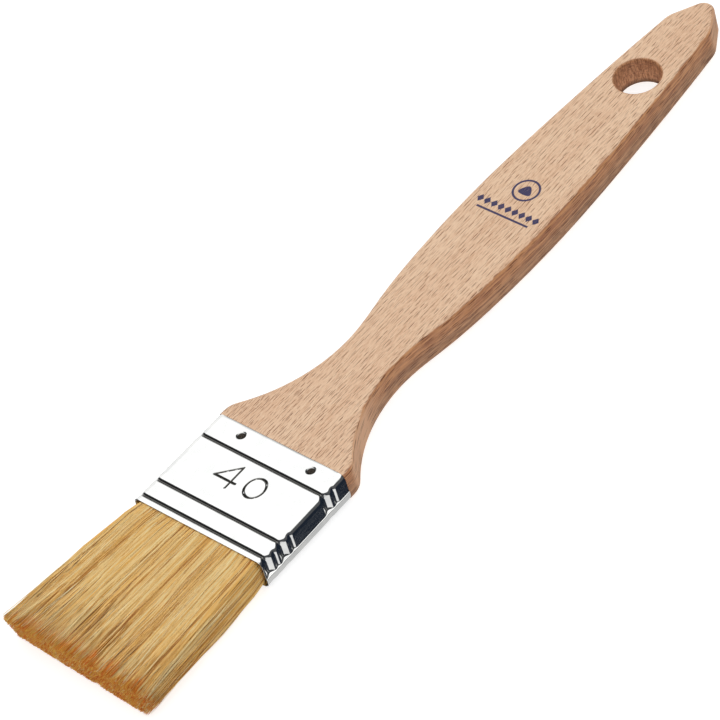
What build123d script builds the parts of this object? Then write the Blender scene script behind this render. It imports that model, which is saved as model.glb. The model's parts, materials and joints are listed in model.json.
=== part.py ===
from build123d import *
from math import asin, atan2, degrees, hypot, tan
import os

# Flat natural-bristle brush, lying on its back. Millimetres.
# X is the width, +Y runs from the bristle tips to the handle's nose, Z is up.
# The origin is on the surface that the brush lies on, below the middle of its length.

# ---- driving dimensions -------------------------------------------------------------
FERRULE_WIDTH = 41.2        # outside; the size pressed into it, 40, is the bristles' nominal width
FERRULE_LENGTH = 31.5
FERRULE_THICKNESS = 9.2
TUFT_FREE_LENGTH = 45.0     # bristles beyond the ferrule's mouth
HANDLE_LENGTH = 173.5       # wood that shows beyond the ferrule
HANDLE_THICKNESS = 8.6

# Ferrule sheet and its pressed beads
SHEET = 0.4
CORNER_RADIUS = 1.9
BEAD_POSITIONS = (7.5, 24.0, 29.5)   # distance from the handle side of the ferrule
BEAD_DEPTH = 0.3
BEAD_RADIUS = 0.6                    # radius of the groove as seen from outside
DIGIT_BASE = 17.7                    # distance of the digits' feet from the handle side
DIGIT_HEIGHT = 7.2
DIGIT_STROKE = 0.9
DIGIT_DEPTH = 0.15
FOUR_STEM = -2.9                     # the 4's upright and the ends of its bar, across the ferrule
FOUR_BAR_HEIGHT = 2.1
FOUR_BAR_LEFT = -8.2
FOUR_BAR_RIGHT = -1.4
ZERO_MIDDLE = 3.9
ZERO_WIDTH = 6.2
SEAM_BELOW_TOP = 5.9                 # line where the sheet's ends lap, on the +X side
SEAM_WIDTH = 0.2
SEAM_DEPTH = 0.12

# Handle outline, as half-widths at distances beyond the ferrule
SHOULDER_CORNER = 3.6
SHOULDER_RADIUS = 6.0
NECK_DISTANCE = 34.0
NECK_HALF = 8.2
NECK_ARC_RADIUS = 45.0
FLARE_DISTANCE = 50.0
FLARE_HALF = 10.2
SWELL_DISTANCE = 68.0
SWELL_HALF = 12.0
BELLY_DISTANCE = 87.0
BELLY_HALF = 12.6
TAPER_DISTANCE = 123.0
TAPER_HALF = 11.0
NOSE_DISTANCE = 165.0
NOSE_HALF = 7.1
NOSE_ROUND = 7.0
TIP_ROUND = 3.2
HANDLE_EDGE_ROUND = 1.1
FOOT_EXTRA = 3.0            # wood made beyond the ferrule's edge and then cut off square

HOLE_DISTANCE = 142.8
HOLE_RADIUS = 6.2
HOLE_RIM = 0.7              # rounding of the hole's edge on both faces

TONGUE_LENGTH = 11.0
TONGUE_LEAD = 0.6

# Nails through the ferrule into the tongue
NAILS_ACROSS = (-10.5, 12.3)         # driven by hand, a little off centre
NAIL_DISTANCE = 2.9
NAIL_HEAD_RADIUS = 1.3
NAIL_HEAD_THICKNESS = 0.2
NAIL_SHANK_RADIUS = 0.55
NAIL_LENGTH = 3.8
NAIL_POINT = 0.9
NAIL_CLEARANCE = 0.03

# Bristles, filler strip and resin
RESIN_LENGTH = 3.0
FILLER_WIDTH = 33.0
FILLER_THICKNESS = 1.8
FILLER_LENGTH = 12.0
TUFT_TIP_HALF = 25.6
TUFT_TIP_THICKNESS = 7.8
TUFT_TIP_CORNER = 2.4
TUFT_TIP_ROUND = 1.4
CLEARANCE = 0.05            # round the beads and in the corners of the sheet

# ---- derived dimensions -------------------------------------------------------------
OVERALL_LENGTH = TUFT_FREE_LENGTH + FERRULE_LENGTH + HANDLE_LENGTH
JOINT_Y = -OVERALL_LENGTH / 2 + TUFT_FREE_LENGTH + FERRULE_LENGTH
MOUTH_Y = JOINT_Y - FERRULE_LENGTH
MID_Z = FERRULE_THICKNESS / 2
HALF_WIDTH = FERRULE_WIDTH / 2
BORE_WIDTH = FERRULE_WIDTH - 2 * SHEET
BORE_THICKNESS = FERRULE_THICKNESS - 2 * SHEET
BORE_CORNER = CORNER_RADIUS - SHEET + CLEARANCE
BEAD_RISE = BEAD_RADIUS - BEAD_DEPTH     # from the outer face out to the bead's centre
BUTT_DISTANCE = TONGUE_LENGTH + RESIN_LENGTH
# the nose's two facets meet at a point from which the tip's rounding draws back to the full length
TIP_CENTRE = HANDLE_LENGTH - TIP_ROUND - NOSE_DISTANCE
FACET_ANGLE = atan2(TIP_CENTRE, NOSE_HALF) + asin(TIP_ROUND / hypot(TIP_CENTRE, NOSE_HALF))
FACETS_MEET = NOSE_DISTANCE + NOSE_HALF * tan(FACET_ANGLE)

os.makedirs("parts", exist_ok=True)


def across(distance):
    """The cross-section plane at a distance from the ferrule's handle side, towards the tips."""
    return Plane(origin=(0, JOINT_Y - distance, MID_Z), x_dir=(1, 0, 0), z_dir=(0, -1, 0))


def bead_spine():
    """Half of the ferrule's outer section, from the middle of the front to that of the back."""
    straight = HALF_WIDTH - CORNER_RADIUS
    side = MID_Z - CORNER_RADIUS
    with BuildLine(across(0)) as spine:
        front = Line((0, MID_Z), (straight, MID_Z))
        upper = RadiusArc(front @ 1, (HALF_WIDTH, side), CORNER_RADIUS)
        edge = Line(upper @ 1, (HALF_WIDTH, -side))
        lower = RadiusArc(edge @ 1, (straight, -MID_Z), CORNER_RADIUS)
        Line(lower @ 1, (0, -MID_Z))
    return spine.wire()


# The wall's own plane, at the start of the spine: X along the ferrule, Y into the metal
WALL_PLANE = Plane(origin=(0, JOINT_Y, FERRULE_THICKNESS), x_dir=(0, -1, 0), z_dir=(1, 0, 0))
SPINE = bead_spine()

# The strokes of the 4, on the ferrule's front, from start to end
FOUR_TOP = (FOUR_STEM, DIGIT_HEIGHT)
FOUR_STROKES = (
    (FOUR_TOP, (FOUR_BAR_LEFT, FOUR_BAR_HEIGHT)),
    ((FOUR_BAR_LEFT, FOUR_BAR_HEIGHT), (FOUR_BAR_RIGHT, FOUR_BAR_HEIGHT)),
    (FOUR_TOP, (FOUR_STEM, 0)),
)

# The nails' places, two on the front and two on the back, each with Z out of the face
NAIL_Y = JOINT_Y - NAIL_DISTANCE
NAIL_PLACES = [
    Plane(origin=(place, NAIL_Y, height), x_dir=(1, 0, 0), z_dir=(0, 0, way)).location
    for place in NAILS_ACROSS
    for height, way in ((FERRULE_THICKNESS, 1), (0, -1))
]


def cut_bead_clearance():
    """Cut the room that the ferrule's inward beads need from the part being built."""
    with BuildSketch(WALL_PLANE) as ring:
        with Locations(*[(distance, -BEAD_RISE) for distance in BEAD_POSITIONS]):
            Circle(BEAD_RADIUS + SHEET + CLEARANCE)
    room = sweep(sections=ring.sketch, path=SPINE, mode=Mode.PRIVATE)
    add(room, mode=Mode.SUBTRACT)
    add(mirror(room, about=Plane.YZ, mode=Mode.PRIVATE), mode=Mode.SUBTRACT)


# ---- ferrule: one strip of sheet bent round, with three beads pressed all the way round
with BuildPart() as ferrule:
    with BuildSketch(WALL_PLANE) as wall:
        with Locations((FERRULE_LENGTH / 2, SHEET / 2)):
            Rectangle(FERRULE_LENGTH, SHEET)
        with Locations(*[(distance, -BEAD_RISE) for distance in BEAD_POSITIONS]):
            Circle(BEAD_RADIUS + SHEET)
        with Locations((FERRULE_LENGTH / 2, 0)):
            Rectangle(FERRULE_LENGTH, 4 * BEAD_RADIUS, align=(Align.CENTER, Align.MAX), mode=Mode.SUBTRACT)
        with Locations(*[(distance, -BEAD_RISE) for distance in BEAD_POSITIONS]):
            Circle(BEAD_RADIUS, mode=Mode.SUBTRACT)
    sweep(path=SPINE)
    mirror(about=Plane.YZ)
    # the size number, pressed into the front between the first two beads
    with BuildSketch(Plane((0, JOINT_Y - DIGIT_BASE, FERRULE_THICKNESS))):
        for start, end in FOUR_STROKES:
            run = Vector(end) - Vector(start)
            with Locations((Vector(start) + Vector(end)) / 2):
                SlotCenterToCenter(run.length, DIGIT_STROKE, rotation=degrees(atan2(run.Y, run.X)))
        with Locations((ZERO_MIDDLE, DIGIT_HEIGHT / 2)):
            Ellipse(ZERO_WIDTH / 2, DIGIT_HEIGHT / 2)
            Ellipse(ZERO_WIDTH / 2 - DIGIT_STROKE, DIGIT_HEIGHT / 2 - DIGIT_STROKE, mode=Mode.SUBTRACT)
    extrude(amount=-DIGIT_DEPTH, mode=Mode.SUBTRACT)
    # the line where the two ends of the strip lap
    with Locations((HALF_WIDTH, JOINT_Y - FERRULE_LENGTH / 2, FERRULE_THICKNESS - SEAM_BELOW_TOP)):
        Box(2 * SEAM_DEPTH, FERRULE_LENGTH, SEAM_WIDTH, mode=Mode.SUBTRACT)
    # seats and holes for the nails
    with Locations(*NAIL_PLACES):
        Cylinder(NAIL_HEAD_RADIUS + NAIL_CLEARANCE, 2 * NAIL_HEAD_THICKNESS, mode=Mode.SUBTRACT)
        Cylinder(NAIL_SHANK_RADIUS + NAIL_CLEARANCE, 4 * SHEET, mode=Mode.SUBTRACT)
ferrule.part.label = "ferrule"


def corners_at(sketch, distance):
    """The corners of an outline at one distance along it."""
    return sketch.vertices().filter_by(lambda corner: abs(corner.Y - distance) < 0.01)


# ---- handle: one board of even thickness, with a tongue that fills the ferrule's upper end
with BuildPart() as handle:
    with BuildSketch(Plane((0, JOINT_Y, MID_Z - HANDLE_THICKNESS / 2))) as board:
        with BuildLine() as outline:
            foot = Line((0, -FOOT_EXTRA), (HALF_WIDTH, -FOOT_EXTRA))
            side = Line(foot @ 1, (HALF_WIDTH, SHOULDER_CORNER))
            neck = RadiusArc(side @ 1, (NECK_HALF, NECK_DISTANCE), NECK_ARC_RADIUS)
            swell = Spline(
                neck @ 1,
                (FLARE_HALF, FLARE_DISTANCE),
                (SWELL_HALF, SWELL_DISTANCE),
                (BELLY_HALF, BELLY_DISTANCE),
                (TAPER_HALF, TAPER_DISTANCE),
                (NOSE_HALF, NOSE_DISTANCE),
                tangents=((0, 1), (-0.12, 1)),
            )
            Line(swell @ 1, (0, FACETS_MEET))
            mirror(about=Plane.YZ)
        make_face()
        fillet(board.vertices().sort_by(Axis.Y)[-1], TIP_ROUND)
        fillet(corners_at(board, NOSE_DISTANCE), NOSE_ROUND)
        fillet(corners_at(board, SHOULDER_CORNER), SHOULDER_RADIUS)
    extrude(amount=HANDLE_THICKNESS)
    long_edges = [
        edge
        for face in (handle.faces().sort_by(Axis.Z)[0], handle.faces().sort_by(Axis.Z)[-1])
        for edge in face.edges()
        if edge.center().Y > JOINT_Y - FOOT_EXTRA + 0.01
    ]
    fillet(long_edges, HANDLE_EDGE_ROUND)
    split(bisect_by=across(0), keep=Keep.BOTTOM)
    # the hang hole, rounded over on both faces
    with Locations((0, JOINT_Y + HOLE_DISTANCE, MID_Z)):
        Cylinder(HOLE_RADIUS, HANDLE_THICKNESS, mode=Mode.SUBTRACT)
    rims = handle.edges().filter_by(GeomType.CIRCLE).filter_by(lambda e: abs(e.radius - HOLE_RADIUS) < 0.01)
    fillet(rims, HOLE_RIM)
    # the tongue
    with BuildSketch(across(0)):
        RectangleRounded(BORE_WIDTH, BORE_THICKNESS, BORE_CORNER)
    extrude(amount=TONGUE_LENGTH)
    tongue_end = handle.faces().sort_by(Axis.Y)[0]
    chamfer(tongue_end.edges(), TONGUE_LEAD)
    cut_bead_clearance()
    with Locations(*NAIL_PLACES):
        Cylinder(
            NAIL_SHANK_RADIUS + NAIL_CLEARANCE,
            NAIL_LENGTH + NAIL_CLEARANCE,
            align=(Align.CENTER, Align.CENTER, Align.MAX),
            mode=Mode.SUBTRACT,
        )
handle.part.label = "handle"

# ---- nails: four alike, two through each face of the ferrule into the tongue
with BuildPart() as nail:
    with BuildSketch(Plane.XZ):
        with BuildLine():
            Polyline(
                (0, 0),
                (NAIL_HEAD_RADIUS, 0),
                (NAIL_HEAD_RADIUS, -NAIL_HEAD_THICKNESS),
                (NAIL_SHANK_RADIUS, -NAIL_HEAD_THICKNESS),
                (NAIL_SHANK_RADIUS, NAIL_POINT - NAIL_LENGTH),
                (0, -NAIL_LENGTH),
                close=True,
            )
        make_face()
    revolve(axis=Axis.Z)

with BuildPart() as ferrule_nails:
    with Locations(*NAIL_PLACES):
        add(nail.part)
ferrule_nails.part.label = "ferrule_nails"

# ---- resin: the set block that binds the bristles' butts behind the tongue
with BuildPart() as resin_set:
    with BuildSketch(across(TONGUE_LENGTH)):
        RectangleRounded(BORE_WIDTH, BORE_THICKNESS, BORE_CORNER)
    extrude(amount=RESIN_LENGTH)
resin_set.part.label = "resin_set"

# ---- filler strip: the thin plug that parts the bristles inside the ferrule
with BuildPart() as filler_strip:
    with BuildSketch(across(BUTT_DISTANCE)):
        Rectangle(FILLER_WIDTH, FILLER_THICKNESS)
    extrude(amount=FILLER_LENGTH)
filler_strip.part.label = "filler_strip"


# ---- bristles: two layers, cut from one bundle that runs from the butts to the tips
with BuildPart() as tuft:
    with BuildSketch(across(BUTT_DISTANCE)):
        RectangleRounded(BORE_WIDTH, BORE_THICKNESS, BORE_CORNER)
    extrude(amount=FERRULE_LENGTH - BUTT_DISTANCE)
    with BuildSketch(across(FERRULE_LENGTH)):
        RectangleRounded(BORE_WIDTH, BORE_THICKNESS, BORE_CORNER)
    with BuildSketch(across(FERRULE_LENGTH + TUFT_FREE_LENGTH)):
        RectangleRounded(2 * TUFT_TIP_HALF, TUFT_TIP_THICKNESS, TUFT_TIP_CORNER)
    loft()
    tips = tuft.faces().sort_by(Axis.Y)[0]
    fillet(tips.edges(), TUFT_TIP_ROUND)
    # the pocket of the filler strip
    with BuildSketch(across(BUTT_DISTANCE)):
        Rectangle(FILLER_WIDTH, FILLER_THICKNESS)
    extrude(amount=FILLER_LENGTH, mode=Mode.SUBTRACT)
    cut_bead_clearance()

with BuildPart() as bristles_front:
    add(tuft.part)
    split(bisect_by=Plane.XY.offset(MID_Z), keep=Keep.TOP)
bristles_front.part.label = "bristles_front"

with BuildPart() as bristles_back:
    add(tuft.part)
    split(bisect_by=Plane.XY.offset(MID_Z), keep=Keep.BOTTOM)
bristles_back.part.label = "bristles_back"

for piece in (handle, ferrule, ferrule_nails, resin_set, filler_strip, bristles_front, bristles_back):
    export_step(piece.part, f"parts/{piece.part.label}.step")
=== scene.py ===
import json
from math import cos, pi, radians, sin

import bpy
import numpy as np
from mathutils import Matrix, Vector


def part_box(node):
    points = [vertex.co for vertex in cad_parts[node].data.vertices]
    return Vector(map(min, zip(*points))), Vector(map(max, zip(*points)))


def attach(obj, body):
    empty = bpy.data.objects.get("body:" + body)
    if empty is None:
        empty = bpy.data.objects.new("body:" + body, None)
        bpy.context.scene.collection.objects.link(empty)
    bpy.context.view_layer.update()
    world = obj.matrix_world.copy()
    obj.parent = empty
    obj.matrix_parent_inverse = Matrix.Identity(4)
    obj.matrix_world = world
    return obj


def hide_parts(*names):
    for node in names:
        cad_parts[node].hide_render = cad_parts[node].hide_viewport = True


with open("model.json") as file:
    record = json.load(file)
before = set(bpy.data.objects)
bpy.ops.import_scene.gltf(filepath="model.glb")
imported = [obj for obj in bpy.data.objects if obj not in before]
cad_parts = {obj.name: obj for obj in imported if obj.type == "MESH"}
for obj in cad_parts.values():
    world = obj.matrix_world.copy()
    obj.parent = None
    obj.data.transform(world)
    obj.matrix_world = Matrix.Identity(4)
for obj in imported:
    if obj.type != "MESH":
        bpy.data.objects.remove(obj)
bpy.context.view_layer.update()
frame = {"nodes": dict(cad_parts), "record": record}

# A flat natural-bristle brush, lying on its back on a pale floor, in the frame's own axes:
# X is the width, +Y runs from the bristle tips to the handle's nose, Z is up. Metres, unless a
# section says millimetres.
MM = 0.001

# ---- places, all from the frame ----------------------------------------------------------
FERRULE_LO, FERRULE_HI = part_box("ferrule")
HANDLE_LO, HANDLE_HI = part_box("handle")
TUFT_LO, TUFT_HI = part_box("bristles_front")
JOINT_Y = FERRULE_HI.y                      # where the wood leaves the ferrule
MOUTH_Y = FERRULE_LO.y                      # where the bristles leave it
TIP_Y = TUFT_LO.y
BUTT_Y = TUFT_HI.y
FRONT_Z = FERRULE_HI.z                      # the ferrule's front face; its back is on the floor
MID_Z = FRONT_Z / 2
HALF_WIDTH = FERRULE_HI.x
HALF_THICKNESS = FRONT_Z / 2
TUFT_HALF_WIDTH = TUFT_HI.x
MOUNTS = {mount["name"]: mount for mount in frame["record"]["mounts"]}
HOLE = MOUNTS["hang_hole"]

# ---- camera, as the brush was seen ---------------------------------------------------------
CAMERA_AZIMUTH = radians(53.12)
CAMERA_ELEVATION = radians(45.42)
CAMERA_ROLL = radians(-17.79)
CAMERA_DISTANCE = 1017.5 * MM
CAMERA_RIGHT = 18.19 * MM                   # how far the view's centre is from the joint
CAMERA_UP = 23.10 * MM
CAMERA_BELOW_FRONT = 4.5 * MM               # its height is measured from this far below the front
CAMERA_LENS = 210.0
CAMERA_CLIP = (0.05, 20)


def make_camera():
    back = Vector((
        sin(CAMERA_AZIMUTH) * cos(CAMERA_ELEVATION),
        -cos(CAMERA_AZIMUTH) * cos(CAMERA_ELEVATION),
        sin(CAMERA_ELEVATION),
    ))
    level = Vector((cos(CAMERA_AZIMUTH), sin(CAMERA_AZIMUTH), 0))
    upright = back.cross(level)
    right = level * cos(CAMERA_ROLL) + upright * sin(CAMERA_ROLL)
    up = upright * cos(CAMERA_ROLL) - level * sin(CAMERA_ROLL)
    camera = bpy.data.objects.new("camera", bpy.data.cameras.new("camera"))
    bpy.context.scene.collection.objects.link(camera)
    joint = Vector((0, JOINT_Y, FRONT_Z - CAMERA_BELOW_FRONT))
    place = joint + right * CAMERA_RIGHT + up * CAMERA_UP + back * CAMERA_DISTANCE
    matrix = camera.matrix_world.copy()
    for column, axis in enumerate((right, up, back)):
        for row in range(3):
            matrix[row][column] = axis[row]
    matrix.translation = place
    camera.matrix_world = matrix
    camera.data.lens = CAMERA_LENS
    camera.data.clip_start, camera.data.clip_end = CAMERA_CLIP
    bpy.context.scene.camera = camera


# ---- shader helpers -------------------------------------------------------------------------
DASH_SCATTER = 0.65         # how far each dash may lie from the middle of its cell


class Graph:
    """A short way to write a node tree: each call adds a node and returns its output."""

    def __init__(self, tree):
        self.tree = tree

    def node(self, kind, *inputs, **settings):
        made = self.tree.nodes.new(kind)
        for key, value in settings.items():
            setattr(made, key, value)
        for socket, value in zip(made.inputs, inputs):
            self.give(socket, value)
        return made

    def give(self, socket, value):
        if isinstance(value, bpy.types.NodeSocket):
            self.tree.links.new(value, socket)
        elif value is not None:
            socket.default_value = value

    def math(self, operation, *values):
        return self.node("ShaderNodeMath", *values, operation=operation).outputs[0]

    def vector(self, operation, *values):
        made = self.node("ShaderNodeVectorMath", *values, operation=operation)
        return made.outputs["Value" if operation in ("DOT_PRODUCT", "LENGTH", "DISTANCE") else "Vector"]

    def scaled(self, vector, x, y, z):
        return self.vector("MULTIPLY", vector, (x, y, z))

    def noise(self, vector, scale=1.0, detail=2.0, roughness=0.5):
        made = self.node("ShaderNodeTexNoise")
        self.give(made.inputs["Vector"], vector)
        made.inputs["Scale"].default_value = scale
        made.inputs["Detail"].default_value = detail
        made.inputs["Roughness"].default_value = roughness
        return made.outputs["Fac"]

    def dashes(self, across, along, pitch_across, pitch_along, half_across, half_along, share):
        """Dashes scattered over a face, each up to 1 at its middle, and 0 between them.

        They lie one to a cell of the two pitches, in the given share of the cells, and differ in length
        and strength.
        """
        place = self.node("ShaderNodeCombineXYZ", across, along, 0.0).outputs[0]
        place = self.scaled(place, 1 / pitch_across, 1 / pitch_along, 0.0)
        made = self.node("ShaderNodeTexVoronoi", voronoi_dimensions="2D")
        self.give(made.inputs["Vector"], place)
        made.inputs["Scale"].default_value = 1.0
        made.inputs["Randomness"].default_value = DASH_SCATTER
        red, green, blue = self.node("ShaderNodeSeparateColor", made.outputs["Color"]).outputs
        away = self.vector("SUBTRACT", place, made.outputs["Position"])
        stretch = self.math("MULTIPLY_ADD", green, 0.8, 0.65)
        away_x, away_y, _ = axes(self, away)
        away_y = self.math("DIVIDE", away_y, stretch)
        away = self.node("ShaderNodeCombineXYZ", away_x, away_y, 0.0).outputs[0]
        away = self.scaled(away, pitch_across / half_across, pitch_along / half_along, 0.0)
        dash = self.ramp(self.vector("LENGTH", away), 0.55, 1.15, 1, 0)
        dash = self.math("MULTIPLY", dash, self.ramp(red, share, share + 0.05, 1, 0))
        return self.math("MULTIPLY", dash, self.ramp(blue, 0.0, 1.0, 0.5, 1.0))

    def ramp(self, value, low, high, start=0.0, end=1.0):
        """Start at low and end at high, which may be below it, with a smooth step between them."""
        made = self.node("ShaderNodeMapRange", interpolation_type="SMOOTHSTEP")
        for name, given in zip(("Value", "From Min", "From Max", "To Min", "To Max"),
                               (value, low, high, start, end)):
            self.give(made.inputs[name], given)
        return made.outputs["Result"]

    def tinted(self, value):
        """A grey colour of the value."""
        return self.node("ShaderNodeCombineColor", value, value, value).outputs[0]

    def mix(self, factor, first, second, blend="MIX"):
        made = self.node("ShaderNodeMix", data_type="RGBA", blend_type=blend)
        self.give(made.inputs["Factor"], factor)
        self.give(made.inputs[6], first)
        self.give(made.inputs[7], second)
        return made.outputs[2]

    def bump(self, height, depth, strength=1.0):
        made = self.node("ShaderNodeBump")
        self.give(made.inputs["Height"], height)
        made.inputs["Distance"].default_value = depth
        made.inputs["Strength"].default_value = strength
        return made.outputs["Normal"]


def linear(red, green, blue):
    """A colour given in 8-bit display values, as the shader's linear RGBA."""
    def one(value):
        value /= 255
        return value / 12.92 if value <= 0.04045 else ((value + 0.055) / 1.055) ** 2.4
    return (one(red), one(green), one(blue), 1.0)


def new_material(name):
    material = bpy.data.materials.new(name)
    material.use_nodes = True
    shader = material.node_tree.nodes["Principled BSDF"]
    return material, Graph(material.node_tree), shader


def millimetres(graph):
    """The point on the object in millimetres, in the object's own frame."""
    coordinates = graph.node("ShaderNodeTexCoord").outputs["Object"]
    return graph.scaled(coordinates, 1 / MM, 1 / MM, 1 / MM)


def axes(graph, vector):
    return graph.node("ShaderNodeSeparateXYZ", vector).outputs


# ---- beech -----------------------------------------------------------------------------------
# The printed mark, in millimetres: a drop in a ring, a row of lozenges, and a rule.
RING_Y = JOINT_Y / MM + 96.5
RING_RADIUS = 3.5
RING_STROKE = 0.62
DROP_RADIUS = 1.6
DROP_TAPER = 0.35           # how much it narrows, for each millimetre up
BAND_Y = JOINT_Y / MM + 89.0
BAND_HALF = 10.1            # half the length of the row of lozenges
LOZENGE_PITCH = 2.244
LOZENGE_HALF_WIDTH = 1.00
LOZENGE_HALF_HEIGHT = 1.30
RULE_Y = JOINT_Y / MM + 86.5
RULE_HALF = 8.2
RULE_STROKE = 0.64
INK_EDGE = 0.1              # the ink's edge is soft over this much, each way
INK = linear(34, 36, 88)

# Ray flecks: cell across and along, half width and half length, and the share of cells with a fleck
FLECK = (1.15, 3.9, 0.105, 1.55, 0.85)
SMALL_FLECK = (0.80, 2.5, 0.075, 1.00, 0.80)
SIDE_FLECK = (0.70, 5.0, 0.13, 1.9, 0.75)
FOOT_FLECKS = (12, 40)      # from the joint: the small ones are full up to one, and half from the other


def printed_mark(graph, point):
    """1 where the front face is printed."""
    x, y, z = axes(graph, point)
    above = graph.math("SUBTRACT", y, RING_Y)
    flat = graph.node("ShaderNodeCombineXYZ", x, above, 0.0).outputs[0]
    ring = graph.math("ABSOLUTE", graph.math("SUBTRACT", graph.vector("LENGTH", flat), RING_RADIUS))
    ring = graph.ramp(ring, RING_STROKE / 2 - INK_EDGE, RING_STROKE / 2 + INK_EDGE, 1, 0)
    narrow = graph.math("MULTIPLY_ADD", above, DROP_TAPER, 1.0)
    drop = graph.node("ShaderNodeCombineXYZ", graph.math("MULTIPLY", x, narrow), above, 0.0).outputs[0]
    drop = graph.ramp(graph.vector("LENGTH", drop), DROP_RADIUS - INK_EDGE, DROP_RADIUS + INK_EDGE, 1, 0)
    cell = graph.math("PINGPONG", graph.math("ADD", x, LOZENGE_PITCH * 100), LOZENGE_PITCH / 2)
    wide = graph.math("DIVIDE", cell, LOZENGE_HALF_WIDTH)
    level = graph.math("ABSOLUTE", graph.math("SUBTRACT", y, BAND_Y))
    tall = graph.math("DIVIDE", level, LOZENGE_HALF_HEIGHT)
    band = graph.ramp(graph.math("ADD", wide, tall), 0.92, 1.08, 1, 0)
    from_middle = graph.math("ABSOLUTE", x)
    band = graph.math("MULTIPLY", band, graph.ramp(from_middle, BAND_HALF, BAND_HALF + INK_EDGE, 1, 0))
    level = graph.math("ABSOLUTE", graph.math("SUBTRACT", y, RULE_Y))
    rule = graph.ramp(level, RULE_STROKE / 2 - 0.08, RULE_STROKE / 2 + 0.08, 1, 0)
    rule = graph.math("MULTIPLY", rule, graph.ramp(from_middle, RULE_HALF, RULE_HALF + 0.2, 1, 0))
    printed = graph.math("MAXIMUM", graph.math("MAXIMUM", ring, drop), graph.math("MAXIMUM", band, rule))
    return graph.math("MULTIPLY", printed, graph.ramp(z, MID_Z / MM + 3.5, MID_Z / MM + 4.0))


def beech_side(graph, grain, z, normal):
    """The sawn sides: darker and redder than the faces, partly their own colour and partly painted shade;
    greyer low down, and paler, as painted light, where they face +Y.
    """
    streaks = graph.noise(graph.scaled(grain, 0.9, 0.045, 1.9), 1.0, 4.0, 0.65)
    streaks = graph.ramp(streaks, 0.35, 0.65)
    high = graph.mix(streaks, linear(206, 142, 90), linear(150, 84, 46))
    low = graph.mix(streaks, linear(190, 138, 99), linear(130, 84, 56))
    sawn_and_shaded = graph.mix(graph.ramp(z, MID_Z / MM - 1.5, MID_Z / MM + 2.0), low, high)
    # painted light: the sides are paler where they face +Y
    facing_y_painted_light = graph.ramp(axes(graph, normal)[1], 0.10, 0.45)
    return graph.mix(facing_y_painted_light, sawn_and_shaded, linear(222, 172, 134))


def beech_hole(graph, point, z):
    """The end grain in the hang hole: brown with dark rays, and painted shade near the back rim."""
    rays = graph.noise(graph.scaled(point, 2.8, 2.8, 0.5), 1.0, 3.0, 0.7)
    cross = graph.noise(graph.scaled(point, 0.9, 0.9, 4.0), 1.0, 2.0, 0.6)
    tone = graph.mix(graph.ramp(rays, 0.40, 0.60), linear(222, 166, 122), linear(164, 110, 74))
    tone = graph.mix(graph.ramp(cross, 0.52, 0.68, 0.0, 0.7), tone, linear(112, 66, 40))
    # painted shade: darker towards the back rim of the hole
    return graph.mix(graph.ramp(z, 2.6, 0.9, 0.0, 0.85), tone, linear(62, 34, 20))


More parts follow.
